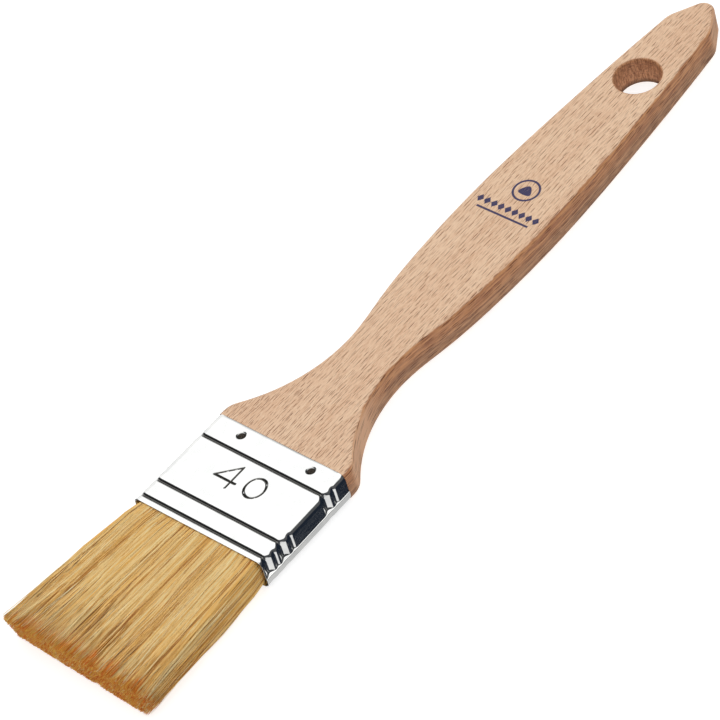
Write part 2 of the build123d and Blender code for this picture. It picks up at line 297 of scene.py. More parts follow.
def make_beech():
    material, graph, shader = new_material("beech")
    point = millimetres(graph)
    x, y, z = axes(graph, point)
    normal = graph.node("ShaderNodeNewGeometry").outputs["Normal"]
    # a slow swirl, so that no line of the grain runs dead straight
    swirl = graph.noise(graph.scaled(point, 0.05, 0.012, 0.05), 1.0, 2.0)
    swirl = graph.math("MULTIPLY_ADD", swirl, 2.4, -1.2)
    x_grain = graph.math("ADD", x, swirl)
    grain = graph.node("ShaderNodeCombineXYZ", x_grain, y, z).outputs[0]
    # broad bands, fine lines and haze
    bands = graph.noise(graph.scaled(grain, 0.16, 0.010, 0.10), 1.0, 3.0)
    lines = graph.noise(graph.scaled(grain, 2.6, 0.10, 0.9), 1.0, 4.0, 0.65)
    fibres = graph.noise(graph.scaled(grain, 8.0, 0.7, 6.0), 1.0, 3.0, 0.65)
    tone = graph.mix(graph.ramp(bands, 0.35, 0.65), linear(239, 202, 168), linear(231, 189, 154))
    tone = graph.mix(graph.ramp(lines, 0.42, 0.72, 0.0, 0.58), tone, linear(194, 143, 104))
    tone = graph.mix(graph.ramp(fibres, 0.40, 0.70, 0.0, 0.62), tone, linear(250, 220, 188))
    tone = graph.mix(graph.ramp(fibres, 0.45, 0.28, 0.0, 0.52), tone, linear(184, 132, 94))
    # the edge between a face and a side is ragged
    ragged = graph.noise(graph.scaled(point, 0.35, 0.16, 0.35), 1.0, 3.0, 0.6)
    ragged = graph.math("MULTIPLY_ADD", ragged, 0.70, -0.35)
    upright = graph.math("ABSOLUTE", axes(graph, normal)[2])
    side = graph.ramp(graph.math("ADD", upright, ragged), 0.70, 0.90, 1, 0)
    # the sides take their own darker colour, partly grain and partly painted shade
    tone = graph.mix(graph.math("MULTIPLY", side, 0.85), tone, beech_side(graph, grain, z, normal))
    # ray flecks: short dark dashes along the grain
    fleck = graph.dashes(x_grain, y, *FLECK)
    small = graph.dashes(graph.math("ADD", x_grain, 7.3), y, *SMALL_FLECK)
    near, far = (JOINT_Y / MM + distance for distance in FOOT_FLECKS)
    small = graph.math("MULTIPLY", small, graph.ramp(y, near, far, 1.0, 0.5))
    fleck = graph.math("MAXIMUM", fleck, small)
    side_fleck = graph.dashes(graph.math("ADD", z, swirl), y, *SIDE_FLECK)
    fleck = graph.mix(side, graph.tinted(fleck), graph.tinted(side_fleck))
    fleck = graph.node("ShaderNodeSeparateColor", fleck).outputs[0]
    # the flecks are darker on the sides too, with the same painted shade
    pore = graph.mix(side, linear(120, 66, 36), linear(92, 48, 26))
    tone = graph.mix(graph.math("MULTIPLY", fleck, 0.94), tone, pore)
    # the wall of the hang hole
    hole_y = HOLE["pos_m"][1] / MM
    hole_r = HOLE["dims"]["r_mm"]
    offset = graph.node("ShaderNodeCombineXYZ", x, graph.math("SUBTRACT", y, hole_y), 0.0).outputs[0]
    inside = graph.ramp(graph.vector("LENGTH", offset), hole_r + 0.25, hole_r + 0.6, 1, 0)
    tone = graph.mix(graph.math("MULTIPLY", inside, 0.85), tone, beech_hole(graph, point, z))
    # the printed mark, worn where the fibres stand up
    wear = graph.ramp(fibres, 0.30, 0.45, 0.75, 1.0)
    ink = graph.math("MULTIPLY", printed_mark(graph, point), wear)
    tone = graph.mix(graph.math("MULTIPLY", ink, 0.97), tone, INK)
    graph.give(shader.inputs["Base Color"], tone)
    graph.give(shader.inputs["Roughness"], graph.ramp(lines, 0.3, 0.8, 0.46, 0.60))
    shader.inputs["Specular IOR Level"].default_value = 0.35
    height = graph.math("SUBTRACT", graph.math("MULTIPLY", fibres, 0.5), fleck)
    graph.give(shader.inputs["Normal"], graph.bump(height, 0.03 * MM, 0.8))
    return material


# ---- bright plated sheet ------------------------------------------------------------------------
def make_plate():
    material, graph, shader = new_material("plated_sheet")
    point = millimetres(graph)
    cloud = graph.noise(graph.scaled(point, 0.35, 0.35, 0.35), 1.0, 3.0)
    scratch = graph.noise(graph.scaled(point, 6.0, 0.4, 6.0), 1.0, 3.0, 0.7)
    tone = graph.mix(graph.ramp(cloud, 0.3, 0.7), linear(238, 238, 236), linear(226, 227, 226))
    # painted shade, dark in the bottom of the pressed lines, the digits and the dimples
    painted_shade = graph.node("ShaderNodeAttribute", attribute_name="painted_shade").outputs["Fac"]
    tone = graph.mix(painted_shade, tone, linear(52, 50, 46))
    graph.give(shader.inputs["Base Color"], tone)
    shader.inputs["Metallic"].default_value = 1.0
    graph.give(shader.inputs["Roughness"], graph.ramp(scratch, 0.35, 0.75, 0.07, 0.15))
    graph.give(shader.inputs["Normal"], graph.bump(cloud, 0.010 * MM, 0.5))
    return material


def make_nail_steel():
    material, graph, shader = new_material("nail_steel")
    point = millimetres(graph)
    cloud = graph.noise(graph.scaled(point, 3.0, 3.0, 3.0), 1.0, 3.0)
    tone = graph.mix(graph.ramp(cloud, 0.3, 0.7), linear(66, 60, 54), linear(34, 30, 27))
    graph.give(shader.inputs["Base Color"], tone)
    shader.inputs["Metallic"].default_value = 1.0
    graph.give(shader.inputs["Roughness"], graph.ramp(cloud, 0.3, 0.7, 0.16, 0.32))
    return material


# ---- bristle, resin and filler -------------------------------------------------------------------
def make_bristle():
    material, graph, shader = new_material("bristle")
    tone = graph.node("ShaderNodeAttribute", attribute_name="tone").outputs["Fac"]
    along = graph.node("ShaderNodeAttribute", attribute_name="along").outputs["Fac"]
    point = millimetres(graph)
    streak = graph.noise(graph.scaled(point, 0.7, 0.035, 0.7), 1.0, 3.0, 0.6)
    mixed = graph.math("MULTIPLY_ADD", graph.math("SUBTRACT", streak, 0.5), 0.6, tone)
    colour = graph.mix(graph.ramp(mixed, 0.0, 0.36), linear(174, 108, 42), linear(243, 192, 107))
    colour = graph.mix(graph.ramp(mixed, 0.40, 0.85), colour, linear(250, 222, 160))
    colour = graph.mix(graph.ramp(mixed, -0.45, 0.0, 0.85, 0.0), colour, linear(128, 74, 30))
    colour = graph.mix(graph.ramp(mixed, 0.95, 1.35, 0.0, 0.8), colour, linear(255, 240, 192))
    # the last few millimetres are stained orange brown, strand by strand, less at the two corners
    blotch = graph.noise(graph.scaled(point, 0.55, 0.30, 0.9), 1.0, 3.0, 0.6)
    reach = graph.math("MULTIPLY_ADD", graph.math("SUBTRACT", blotch, 0.5), 0.16, along)
    reach = graph.math("MULTIPLY_ADD", graph.math("SUBTRACT", 0.5, tone), 0.07, reach)
    across = graph.math("ABSOLUTE", graph.math("SUBTRACT", axes(graph, point)[0], LEAN / MM))
    corner = graph.ramp(across, TIP_HALF_WIDTH / MM - 4.0, TIP_HALF_WIDTH / MM - 0.5, 0.0, 0.035)
    reach = graph.math("SUBTRACT", reach, corner)
    tip = graph.ramp(reach, 0.885, 0.970)
    burnt = graph.mix(graph.ramp(tone, 0.1, 0.9), linear(232, 114, 30), linear(255, 208, 92))
    colour = graph.mix(graph.math("MULTIPLY", tip, 0.90), colour, burnt)
    graph.give(shader.inputs["Base Color"], colour)
    graph.give(shader.inputs["Roughness"], graph.ramp(streak, 0.3, 0.7, 0.38, 0.55))
    shader.inputs["Specular IOR Level"].default_value = 0.22
    return material


def make_plain(name, first, second, roughness):
    """A mottled matte material for the pieces that the ferrule hides."""
    material, graph, shader = new_material(name)
    point = millimetres(graph)
    cloud = graph.noise(graph.scaled(point, 0.8, 0.3, 0.8), 1.0, 4.0)
    graph.give(shader.inputs["Base Color"], graph.mix(graph.ramp(cloud, 0.3, 0.7), first, second))
    graph.give(shader.inputs["Roughness"], graph.ramp(cloud, 0.3, 0.7, roughness - 0.1, roughness + 0.1))
    graph.give(shader.inputs["Normal"], graph.bump(cloud, 0.05 * MM, 0.5))
    return material


def dress(node, material):
    mesh = frame["nodes"][node].data
    mesh.materials.clear()
    mesh.materials.append(material)


# ---- mesh helper -----------------------------------------------------------------------------------
def new_piece(name, points, faces, material, attributes=None):
    """A smooth mesh from an array of points in metres and an array of faces, riding on the brush."""
    mesh = bpy.data.meshes.new(name)
    sides = faces.shape[1]
    mesh.vertices.add(len(points))
    mesh.vertices.foreach_set("co", np.asarray(points, np.float32).ravel())
    mesh.loops.add(faces.size)
    mesh.loops.foreach_set("vertex_index", faces.astype(np.int32).ravel())
    mesh.polygons.add(len(faces))
    mesh.polygons.foreach_set("loop_start", np.arange(0, faces.size, sides, dtype=np.int32))
    mesh.polygons.foreach_set("use_smooth", np.ones(len(faces), bool))
    mesh.update(calc_edges=True)
    for key, values in (attributes or {}).items():
        layer = mesh.attributes.new(key, "FLOAT", "POINT")
        layer.data.foreach_set("value", np.asarray(values, np.float32).ravel())
    mesh.validate()
    piece = bpy.data.objects.new(name, mesh)
    bpy.context.scene.collection.objects.link(piece)
    mesh.materials.append(material)
    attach(piece, "root")
    return piece


# ---- bristles ---------------------------------------------------------------------------------------
# A strand's run is 0 at the ferrule's mouth and 1 at the tips, and u and v are its place across and
# through the tuft, both -1 to 1.
FACE_STRANDS = 2500         # each of the front and the back
TOP_STRANDS = 2400          # looser ones over the front
SIDE_STRANDS = 1000
INNER_TIPS = 6500           # only the ends of the strands inside
INNER_TIPS_START = 0.78
SHELL_STEPS = 13
STUB_STEPS = 5
STRAND_SIDES = 3
ROOT_RADIUS = 0.14 * MM
TIP_RADIUS = 0.06 * MM
TAPER_START = 0.55          # share of a strand that keeps its full thickness
WISPS = 34

TUFT_LENGTH = MOUTH_Y - TIP_Y
MOUTH_GAP = 0.55 * MM               # from the ferrule's outside in to the bristles at its mouth
MOUTH_HALF_WIDTH = HALF_WIDTH - MOUTH_GAP
MOUTH_HALF_THICKNESS = HALF_THICKNESS - MOUTH_GAP
MOUTH_SWELL = 0.45 * MM             # the tuft swells by this just beyond it
TIP_HALF_WIDTH = TUFT_HALF_WIDTH - 1.55 * MM
TIP_HALF_THICKNESS = 3.55 * MM
INSIDE_HALF_WIDTH = 19.3 * MM       # where the ferrule's beads squeeze it
INSIDE_HALF_THICKNESS = 3.45 * MM
NECK = 0.030                        # it widens from there to the mouth over this much of a run
LEAN = -1.5 * MM                    # its tip leans this far to one side
TUFT_LOW = 0.35 * MM                # no strand's middle goes below this, or as near to the front
TUFT_HIGH = 2 * MID_Z - TUFT_LOW

CORNER_ROUND = 3.0 * MM             # the tuft's two corners are worn round
TIP_SLANT = 0.04                    # share of its length that is worn off the back's -X corner
NOTCH_X = 7.0                       # a small notch in the tips: place and width in millimetres, depth
NOTCH_HALF = 0.8
NOTCH_DEPTH = 0.02
UNEVEN_TIPS = 0.016

SWAY = 0.20 * MM                    # side to side, of each strand
LIFT = 0.09 * MM                    # up and down
SPLAY = 0.40 * MM
WILD_SPLAY = 1.10 * MM              # of the few that stand out
WILD_SHARE = 0.12

DARK_SHADE = -0.30                  # the few darkest and palest strands
DARK_SHARE = 0.035
PALE_SHADE = 1.3
PALE_SHARE = 0.06


def smooth(values, low, high):
    ratio = np.clip((values - low) / (high - low), 0, 1)
    return ratio * ratio * (3 - 2 * ratio)


def tuft_section(run):
    """Half-width, half-thickness and middle of the tuft at a run."""
    out = np.clip(run, 0, None)
    swell = MOUTH_SWELL * smooth(out, 0, 0.05)
    half_width = MOUTH_HALF_WIDTH + swell + (TIP_HALF_WIDTH - MOUTH_HALF_WIDTH - MOUTH_SWELL) * out
    half_thickness = (MOUTH_HALF_THICKNESS + 0.6 * swell
                      + (TIP_HALF_THICKNESS - MOUTH_HALF_THICKNESS) * smooth(out, 0.35, 1.1))
    squeeze = smooth(-run, 0, NECK)
    half_width = half_width + (INSIDE_HALF_WIDTH - half_width) * squeeze
    half_thickness = half_thickness + (INSIDE_HALF_THICKNESS - half_thickness) * squeeze
    return half_width, half_thickness, LEAN * out


def place(u, v, run):
    """Where the strand at u and v passes at this run, before it strays."""
    half_width, half_thickness, middle = tuft_section(run)
    shoulder = np.clip((np.abs(u) - 0.90) / 0.10, 0, 1)
    thin = np.sqrt(1 - 0.75 * shoulder ** 2)
    return middle + u * half_width, MID_Z + v * half_thickness * thin


def make_wisps(count, rng):
    """Loose locks of bristle side by side: where each is, how it drifts, and its own shade."""
    return {
        "middle": np.linspace(-1, 1, count) + rng.normal(size=count) * 0.4 / count,
        "pull": rng.uniform(0.1, 0.6, count),
        "drift": rng.normal(size=count) * 0.42 * MM,
        "wave": rng.normal(size=count) * 0.22 * MM,
        "phase": rng.uniform(0, 2 * pi, count),
        "rise": rng.normal(size=count) * 0.16 * MM,
        "shade": rng.normal(size=count) * 0.08,
    }


def strand_ends(u, v, rng):
    """The run at which each strand ends: about 1, and less at the corners, in the notch and by chance."""
    edge = np.maximum(np.abs(u) ** 8, np.abs(v) ** 4)
    inward = np.clip(1 - (1 - np.abs(u)) * TIP_HALF_WIDTH / CORNER_ROUND, 0, 1)
    short = (CORNER_ROUND / TUFT_LENGTH) * (1 - np.sqrt(1 - 0.96 * inward ** 2))
    short += 0.012 * edge + UNEVEN_TIPS * np.abs(rng.normal(size=len(u)))
    short += NOTCH_DEPTH * np.exp(-((u * TIP_HALF_WIDTH / MM - NOTCH_X) / NOTCH_HALF) ** 2)
    short += TIP_SLANT * (1 - u) * (1 - v) / 4
    return (1 - short)[:, None]


def strand_lines(u, v, run, lock, wisps, rng, loose):
    """Across and height of each strand at each of its runs."""
    count = len(u)
    out = np.clip(run, 0, 1)
    # a strand drifts with its lock
    inner = (1 - smooth(np.abs(u), 0.9, 1.0))[:, None]
    middle, pull, drift, wave, phase, rise = (
        wisps[key][lock][:, None] for key in ("middle", "pull", "drift", "wave", "phase", "rise"))
    u_now = u[:, None] + (middle - u[:, None]) * pull * inner * out ** 1.5
    x, z = place(u_now, v[:, None] * np.ones_like(run), run)
    x = x + inner * loose * (drift * out ** 1.4 + wave * np.sin(5 * out + phase) * smooth(out, 0.05, 0.5))
    z = z + loose * rise * smooth(out, 0.05, 0.6) * (1 - 0.5 * out) * np.sign(v)[:, None]
    # and has a slow wave and splay of its own
    own_phase = rng.random((count, 1)) * 2 * pi
    waves = rng.uniform(0.5, 1.6, (count, 1))
    sway = rng.normal(size=(count, 1)) * SWAY * loose
    x = x + sway * np.sin(2 * pi * waves * out + own_phase) * smooth(out, 0.0, 0.4)
    splay = rng.normal(size=(count, 1)) * np.where(rng.random((count, 1)) < WILD_SHARE, WILD_SPLAY, SPLAY)
    x = x + splay * (0.2 + 0.8 * inner) * loose * out ** 1.6
    lift = rng.normal(size=(count, 1)) * LIFT * loose
    z = z + lift * np.sin(2 * pi * waves * out + 1.7 * own_phase) * smooth(out, 0.0, 0.3)
    x = np.clip(x, -TUFT_HALF_WIDTH + ROOT_RADIUS, TUFT_HALF_WIDTH - ROOT_RADIUS)
    return x, np.clip(z, TUFT_LOW, TUFT_HIGH)


def strand_tubes(x, y, z, taper, rng):
    """Points and triangles of a closed thin tube round each strand's line."""
    count, steps = x.shape
    thick = rng.uniform(0.70, 1.30, (count, 1))
    radius = (ROOT_RADIUS + (TIP_RADIUS - ROOT_RADIUS) * taper) * thick
    turn = rng.random((count, 1)) * 2 * pi
    corners = np.arange(STRAND_SIDES) * 2 * pi / STRAND_SIDES
    angle = turn[:, :, None] + corners[None, None, :]
    points = np.empty((count, steps, STRAND_SIDES, 3))
    points[..., 0] = x[:, :, None] + radius[:, :, None] * np.cos(angle)
    points[..., 1] = y[:, :, None]
    points[..., 2] = z[:, :, None] + radius[:, :, None] * np.sin(angle)
    index = np.arange(points[..., 0].size).reshape(count, steps, STRAND_SIDES)
    there = np.roll(index, -1, axis=2)
    walls = np.stack((index[:, :-1], there[:, :-1], there[:, 1:], index[:, 1:]), -1).reshape(-1, 4)
    triangles = np.concatenate((walls[:, [0, 1, 2]], walls[:, [0, 2, 3]], index[:, 0, ::-1], index[:, -1]))
    return points.reshape(-1, 3), triangles


def make_strands(name, u, v, start, steps, wisps, rng, material, loose=1.0):
    """Tapered strands at u and v, from the run given by start out to the tips."""
    count = len(u)
    end = strand_ends(u, v, rng)
    if start < 0:
        inside = np.broadcast_to((start, -NECK), (count, 2))
        run = np.concatenate((inside, end * np.linspace(0, 1, steps - 2)), axis=1)
    else:
        run = start + (end - start) * np.linspace(0, 1, steps)
    locks = len(wisps["middle"])
    lock = np.rint((u + 1) / 2 * (locks - 1) + rng.normal(size=count) * 0.45).astype(int)
    lock = np.clip(lock, 0, locks - 1)
    x, z = strand_lines(u, v, run, lock, wisps, rng, loose)
    taper = smooth((run - start) / (end - start), TAPER_START, 1.0)
    points, triangles = strand_tubes(x, MOUTH_Y - run * TUFT_LENGTH, z, taper, rng)
    shade = np.clip(rng.beta(1.5, 1.5, count) + wisps["shade"][lock], 0, 1)
    rare = rng.random(count)
    shade = np.where(rare < DARK_SHARE, DARK_SHADE, np.where(rare > 1 - PALE_SHARE, PALE_SHADE, shade))
    return new_piece(name, points, triangles, material, {
        "tone": np.repeat(shade, steps * STRAND_SIDES),
        "along": np.repeat(run.ravel(), STRAND_SIDES),
    })


def make_tuft(material):
    rng = np.random.default_rng(40)
    behind = (MOUTH_Y - BUTT_Y) / TUFT_LENGTH
    wisps = make_wisps(WISPS, rng)
    front = make_strands("bristle_strands_front", rng.uniform(-1, 1, FACE_STRANDS),
                         rng.uniform(0.66, 1.0, FACE_STRANDS), behind, SHELL_STEPS, wisps, rng, material)
    make_strands("bristle_strands_top", rng.uniform(-0.97, 0.97, TOP_STRANDS),
                 rng.uniform(0.90, 1.03, TOP_STRANDS), behind, SHELL_STEPS, wisps, rng, material, loose=1.3)
    wisps = make_wisps(WISPS, rng)
    back = make_strands("bristle_strands_back", rng.uniform(-1, 1, FACE_STRANDS),
                        -rng.uniform(0.66, 1.0, FACE_STRANDS), behind, SHELL_STEPS, wisps, rng, material)
    side_u = np.where(rng.random(SIDE_STRANDS) < 0.5, -1, 1) * rng.uniform(0.955, 1.0, SIDE_STRANDS)
    make_strands("bristle_strands_sides", side_u, rng.uniform(-0.95, 0.95, SIDE_STRANDS),
                 behind, SHELL_STEPS, wisps, rng, material)
    make_strands("bristle_tips_inner", rng.uniform(-0.97, 0.97, INNER_TIPS),
                 rng.uniform(-0.97, 0.97, INNER_TIPS), INNER_TIPS_START, STUB_STEPS, wisps, rng, material,
                 loose=0.8)
    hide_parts("bristles_front")
    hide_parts("bristles_back")
    make_core(material)


CORE_FILL = 0.80            # share of the tuft's thickness
CORE_INSET = 1.2 * MM       # from its sides
CORE_START = -0.04          # both as runs
CORE_END = 0.86
CORE_STEPS = 14
CORE_SIDES = 64
CORE_SQUARENESS = 0.35      # 1 is an ellipse, 0 a rectangle
# the core's tone is kept dark, as painted shade for the deep inside of the tuft
CORE_PAINTED_SHADE = 0.02


def make_core(material):
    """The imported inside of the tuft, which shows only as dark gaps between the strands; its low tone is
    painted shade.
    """
    run = np.linspace(CORE_START, CORE_END, CORE_STEPS)[:, None]
    angle = np.arange(CORE_SIDES)[None, :] * 2 * pi / CORE_SIDES
    u = np.sign(np.cos(angle)) * np.abs(np.cos(angle)) ** CORE_SQUARENESS
    v = np.sign(np.sin(angle)) * np.abs(np.sin(angle)) ** CORE_SQUARENESS
    half_width, half_thickness, middle = tuft_section(run)
    points = np.empty((CORE_STEPS, CORE_SIDES, 3))
    points[..., 0] = middle + u * (half_width - CORE_INSET)
    points[..., 1] = MOUTH_Y - run * TUFT_LENGTH
    points[..., 2] = MID_Z + v * half_thickness * CORE_FILL
    index = np.arange(CORE_STEPS * CORE_SIDES).reshape(CORE_STEPS, CORE_SIDES)
    turned = np.roll(index, -1, axis=1)
    walls = np.stack((index[:-1], turned[:-1], turned[1:], index[1:]), -1).reshape(-1, 4)
    triangles = [walls[:, [0, 1, 2]], walls[:, [0, 2, 3]]]
    for ring, flip in ((index[0], True), (index[-1], False)):
        fan = np.stack((np.full(CORE_SIDES - 2, ring[0]), ring[1:-1], ring[2:]), -1)
        triangles.append(fan[:, ::-1] if flip else fan)
    triangles = np.concatenate(triangles)
    new_piece("bristle_core", points.reshape(-1, 3), triangles, material, {
        "tone": np.full(CORE_STEPS * CORE_SIDES, CORE_PAINTED_SHADE),
        "along": np.repeat(run.ravel(), CORE_SIDES),
    })


# ---- ferrule ----------------------------------------------------------------------------------------
# One strip of thin sheet bent round, as a fine grid: rows run along the brush, columns go round it.
# Distances along it are from the joint towards the mouth, heights and depths in millimetres.
FERRULE_LENGTH = (JOINT_Y - MOUTH_Y) / MM
FERRULE_HALF = HALF_WIDTH / MM
FERRULE_HEIGHT = FRONT_Z / MM
CORNER_RADIUS = 1.9
SHEET = 0.3
EDGE_ROUND = 0.12           # rounding of the strip's two long edges
SHEET_WAVES = 0.010
BEADS = (7.5, 24.0, 29.5)
BEAD_DEPTH = 0.56
BEAD_HALF = 0.60
BEAD_BOTTOM = 0.05          # how sharp its bottom is
SIDE_BEAD_DEPTH = 0.75      # the beads are wider and deeper round the narrow sides
SIDE_BEAD_HALF = 1.85
BUCKLES = (4.5, 20.8, 26.75)    # shallow buckles beside the beads, on the narrow sides only
BUCKLE_DEPTH = 0.34
BUCKLE_HALF = 1.0
FAR_SIDE_FADE = 0.8         # the beads run out at the -X corners
ON_LAP = 0.15               # share of a bead's or buckle's depth that is left on the lapped ply
NAILS_ACROSS = (-10.5, 12.3)
NAIL_DOWN = 2.9
DIMPLE_RADIUS = 1.40
DIMPLE_WALL = 0.38
DIMPLE_DEPTH = 0.36
# painted shade in the hollows: its strength in the beads, and its reach round each dimple
BEAD_PAINTED_SHADE = 0.9
DIMPLE_SHADE_RADIUS = 1.6
PAINTED_SHADE_SHIFT = 0.30          # the painted shade gathers at one side of each dimple
NUMBER_BASE = 17.7          # the digits' feet, from the joint
NUMBER_HEIGHT = 7.2
STROKE_HALF = 0.40
STROKE_DEPTH = 0.37
STROKE_BOTTOM = 0.03
FOUR_STEM = -2.9
FOUR_BAR_HEIGHT = 2.1
FOUR_BAR_ENDS = (-8.2, -1.4)
ZERO_MIDDLE = 3.9
ZERO_HALF_WIDTH = 2.65
ZERO_HALF_HEIGHT = 3.15
LAP_HEIGHT = 3.3            # top of the outer ply where the strip laps, on the +X side
LAP_STEP = 0.28
LAP_TUCK = 0.10             # how much the outer ply leans under, in millimetres a millimetre
MOUTH_FLARE = 0.35          # each side, over the whole length
MOUTH_LIP = 0.12            # the edge at the mouth is turned out by this

# Pitches of the grid: a coarse one, and finer ones where something is pressed in
COLUMN_PITCH = 1.0
ROW_PITCH = 0.9
INNER_ROW_PITCH = 1.5
SIDE_PITCH = 0.3
LAP_PITCH = 0.05
BEAD_PITCH = 0.10
INNER_BEAD_PITCH = 0.2
BUCKLE_PITCH = 0.28
NAIL_PITCH = 0.15
DIGIT_COLUMN_PITCH = 0.105
DIGIT_ROW_PITCH = 0.11
NAIL_ZONE = 1.6             # half the size of the finer zone round a nail
LAP_ZONE = 0.2
BEAD_ZONE = 0.65
INNER_BEAD_ZONE = 0.6
BUCKLE_ZONES = ((3.5, 9.4), (19.7, 31.4))
DIGIT_ZONE_ACROSS = (-9.0, 7.4)
DIGIT_ZONE_MARGIN = 0.7     # above and below the digits


def spaced(start, end, dense, coarse):
    """Places from start to end, at the coarse pitch, and inside the dense spans at the finest of theirs."""
    places = [start]
    while places[-1] < end - 1e-6:
        here = places[-1]
        inside = [pitch for low, high, pitch in dense if low - 1e-6 <= here < high - 1e-6]
        step = min(inside, default=coarse)
        for low, _, _ in dense:
            if here < low - 1e-6 < here + step:
                step = low - here
        places.append(min(here + step, end))
    return np.array(places)


def ferrule_section():
    """The columns: across, height and outward normal of each point round the section."""
    straight = FERRULE_HALF - CORNER_RADIUS
    low, high = CORNER_RADIUS, FERRULE_HEIGHT - CORNER_RADIUS
    nails = [(across - NAIL_ZONE, across + NAIL_ZONE, NAIL_PITCH) for across in NAILS_ACROSS]
    digits = [(*DIGIT_ZONE_ACROSS, DIGIT_COLUMN_PITCH)]
    front = spaced(-straight, straight, nails + digits, COLUMN_PITCH)
    back = spaced(-straight, straight, nails, COLUMN_PITCH)[::-1]
    side = spaced(low, high, [(LAP_HEIGHT - LAP_ZONE, LAP_HEIGHT + LAP_ZONE, LAP_PITCH)], SIDE_PITCH)
    turn = np.linspace(0, pi / 2, 14)[1:-1]

    def face(x, z, normal_x, normal_z):
        x, z = np.broadcast_arrays(np.asarray(x, float), np.asarray(z, float))
        return np.stack((x, z, np.full(x.shape, normal_x), np.full(x.shape, normal_z)), -1)

    def corner(x, z, start):
        angle = start - turn
        normal = np.stack((np.cos(angle), np.sin(angle)), -1)
        return np.concatenate(((x, z) + CORNER_RADIUS * normal, normal), -1)

    return np.concatenate((
        face(front, FERRULE_HEIGHT, 0, 1), corner(straight, high, pi / 2),
        face(FERRULE_HALF, side[::-1], 1, 0), corner(straight, low, 0),
        face(back, 0, 0, -1), corner(-straight, low, -pi / 2),
        face(-FERRULE_HALF, side, -1, 0), corner(-straight, high, pi),
    ))


def near_segment(x, y, start, end):
    """Distance of each point from a straight stroke."""
    start, end = np.array(start), np.array(end)
    run = end - start
    ratio = ((x - start[0]) * run[0] + (y - start[1]) * run[1]) / (run @ run)
    ratio = np.clip(ratio, 0, 1)
    return np.hypot(x - start[0] - ratio * run[0], y - start[1] - ratio * run[1])


def near_number(x, y):
    """Distance from the middle of the strokes of the number 40, with y up from the digits' feet."""
    top = (FOUR_STEM, NUMBER_HEIGHT)
    left, right = FOUR_BAR_ENDS
    four = np.minimum.reduce([
        near_segment(x, y, top, (left, FOUR_BAR_HEIGHT)),
        near_segment(x, y, (left, FOUR_BAR_HEIGHT), (right, FOUR_BAR_HEIGHT)),
        near_segment(x, y, top, (FOUR_STEM, 0)),
    ])
    u = (x - ZERO_MIDDLE) / ZERO_HALF_WIDTH
    v = (y - NUMBER_HEIGHT / 2) / ZERO_HALF_HEIGHT
    level = np.hypot(u, v) + 1e-9
    slope = np.hypot(u / ZERO_HALF_WIDTH, v / ZERO_HALF_HEIGHT) / level + 1e-9
    zero = np.abs(level - 1) / slope
    return np.minimum(four, zero)


def ferrule_depth(x, z, normal_x, normal_z, down):
    """How far each point of the outer face is pressed inwards, and how much painted shade it gets."""
    on_face = np.abs(normal_z) > 0.5
    on_lap = (normal_x > 0.2) * smooth(LAP_HEIGHT + 0.05 - z, 0, 0.1)
    left_on_lap = 1 - (1 - ON_LAP) * on_lap
    painted_shade = np.zeros_like(x + down)
    waves = SHEET_WAVES * np.sin(0.23 * x + 0.31 * down + 1.0) * np.sin(0.11 * x - 0.19 * down)
    depth = waves * on_face
    on_side = smooth(np.abs(normal_x), 0.3, 1.0)
    reach = BEAD_HALF + (SIDE_BEAD_HALF - BEAD_HALF) * on_side
    full = BEAD_DEPTH + (SIDE_BEAD_DEPTH - BEAD_DEPTH) * on_side
    for bead in BEADS:
        away = np.sqrt((down - bead) ** 2 + BEAD_BOTTOM ** 2)
        ratio = np.clip(1 - away / reach, 0, None)
        groove = full * (ratio + (smooth(ratio, 0, 1) - ratio) * on_side)
        depth = depth + groove * left_on_lap * (1 - FAR_SIDE_FADE * smooth(-normal_x, 0.05, 0.75))
        # painted shade along the bottom of each bead
        painted_shade = painted_shade + BEAD_PAINTED_SHADE * smooth(ratio, 0.12, 0.40) * smooth(np.abs(normal_z), 0.75, 1.0)
    for buckle in BUCKLES:
        ratio = np.clip(1 - np.abs(down - buckle) / BUCKLE_HALF, 0, None)
        depth = depth + BUCKLE_DEPTH * smooth(ratio, 0, 1) * smooth(np.abs(normal_x), 0.5, 1.0) * left_on_lap
    for across in NAILS_ACROSS:
        away = np.hypot(x - across, down - NAIL_DOWN)
        dimple = DIMPLE_DEPTH * smooth(DIMPLE_RADIUS - away, 0, DIMPLE_WALL)
        depth = depth + dimple * on_face
        # painted shade in each dimple, to one side
        away = np.hypot(x - across - PAINTED_SHADE_SHIFT, down - NAIL_DOWN - PAINTED_SHADE_SHIFT)
        near = smooth(DIMPLE_SHADE_RADIUS - away, 0, 0.4)
        painted_shade = painted_shade + smooth(dimple, 0.0, 0.5 * DIMPLE_DEPTH) * near * on_face
    number = near_number(x, NUMBER_BASE - down)
    stroke = np.clip(1 - np.sqrt(number ** 2 + STROKE_BOTTOM ** 2) / STROKE_HALF, 0, None) * (normal_z > 0.5)
    depth = depth + STROKE_DEPTH * stroke
    # painted shade in the digits' strokes
    painted_shade = painted_shade + smooth(stroke, 0.15, 0.55)
    lap = LAP_STEP - LAP_TUCK * (LAP_HEIGHT - z)
    depth = depth - lap * on_lap * smooth(normal_x, 0.2, 0.9)
    return depth, np.clip(painted_shade, 0, 1)


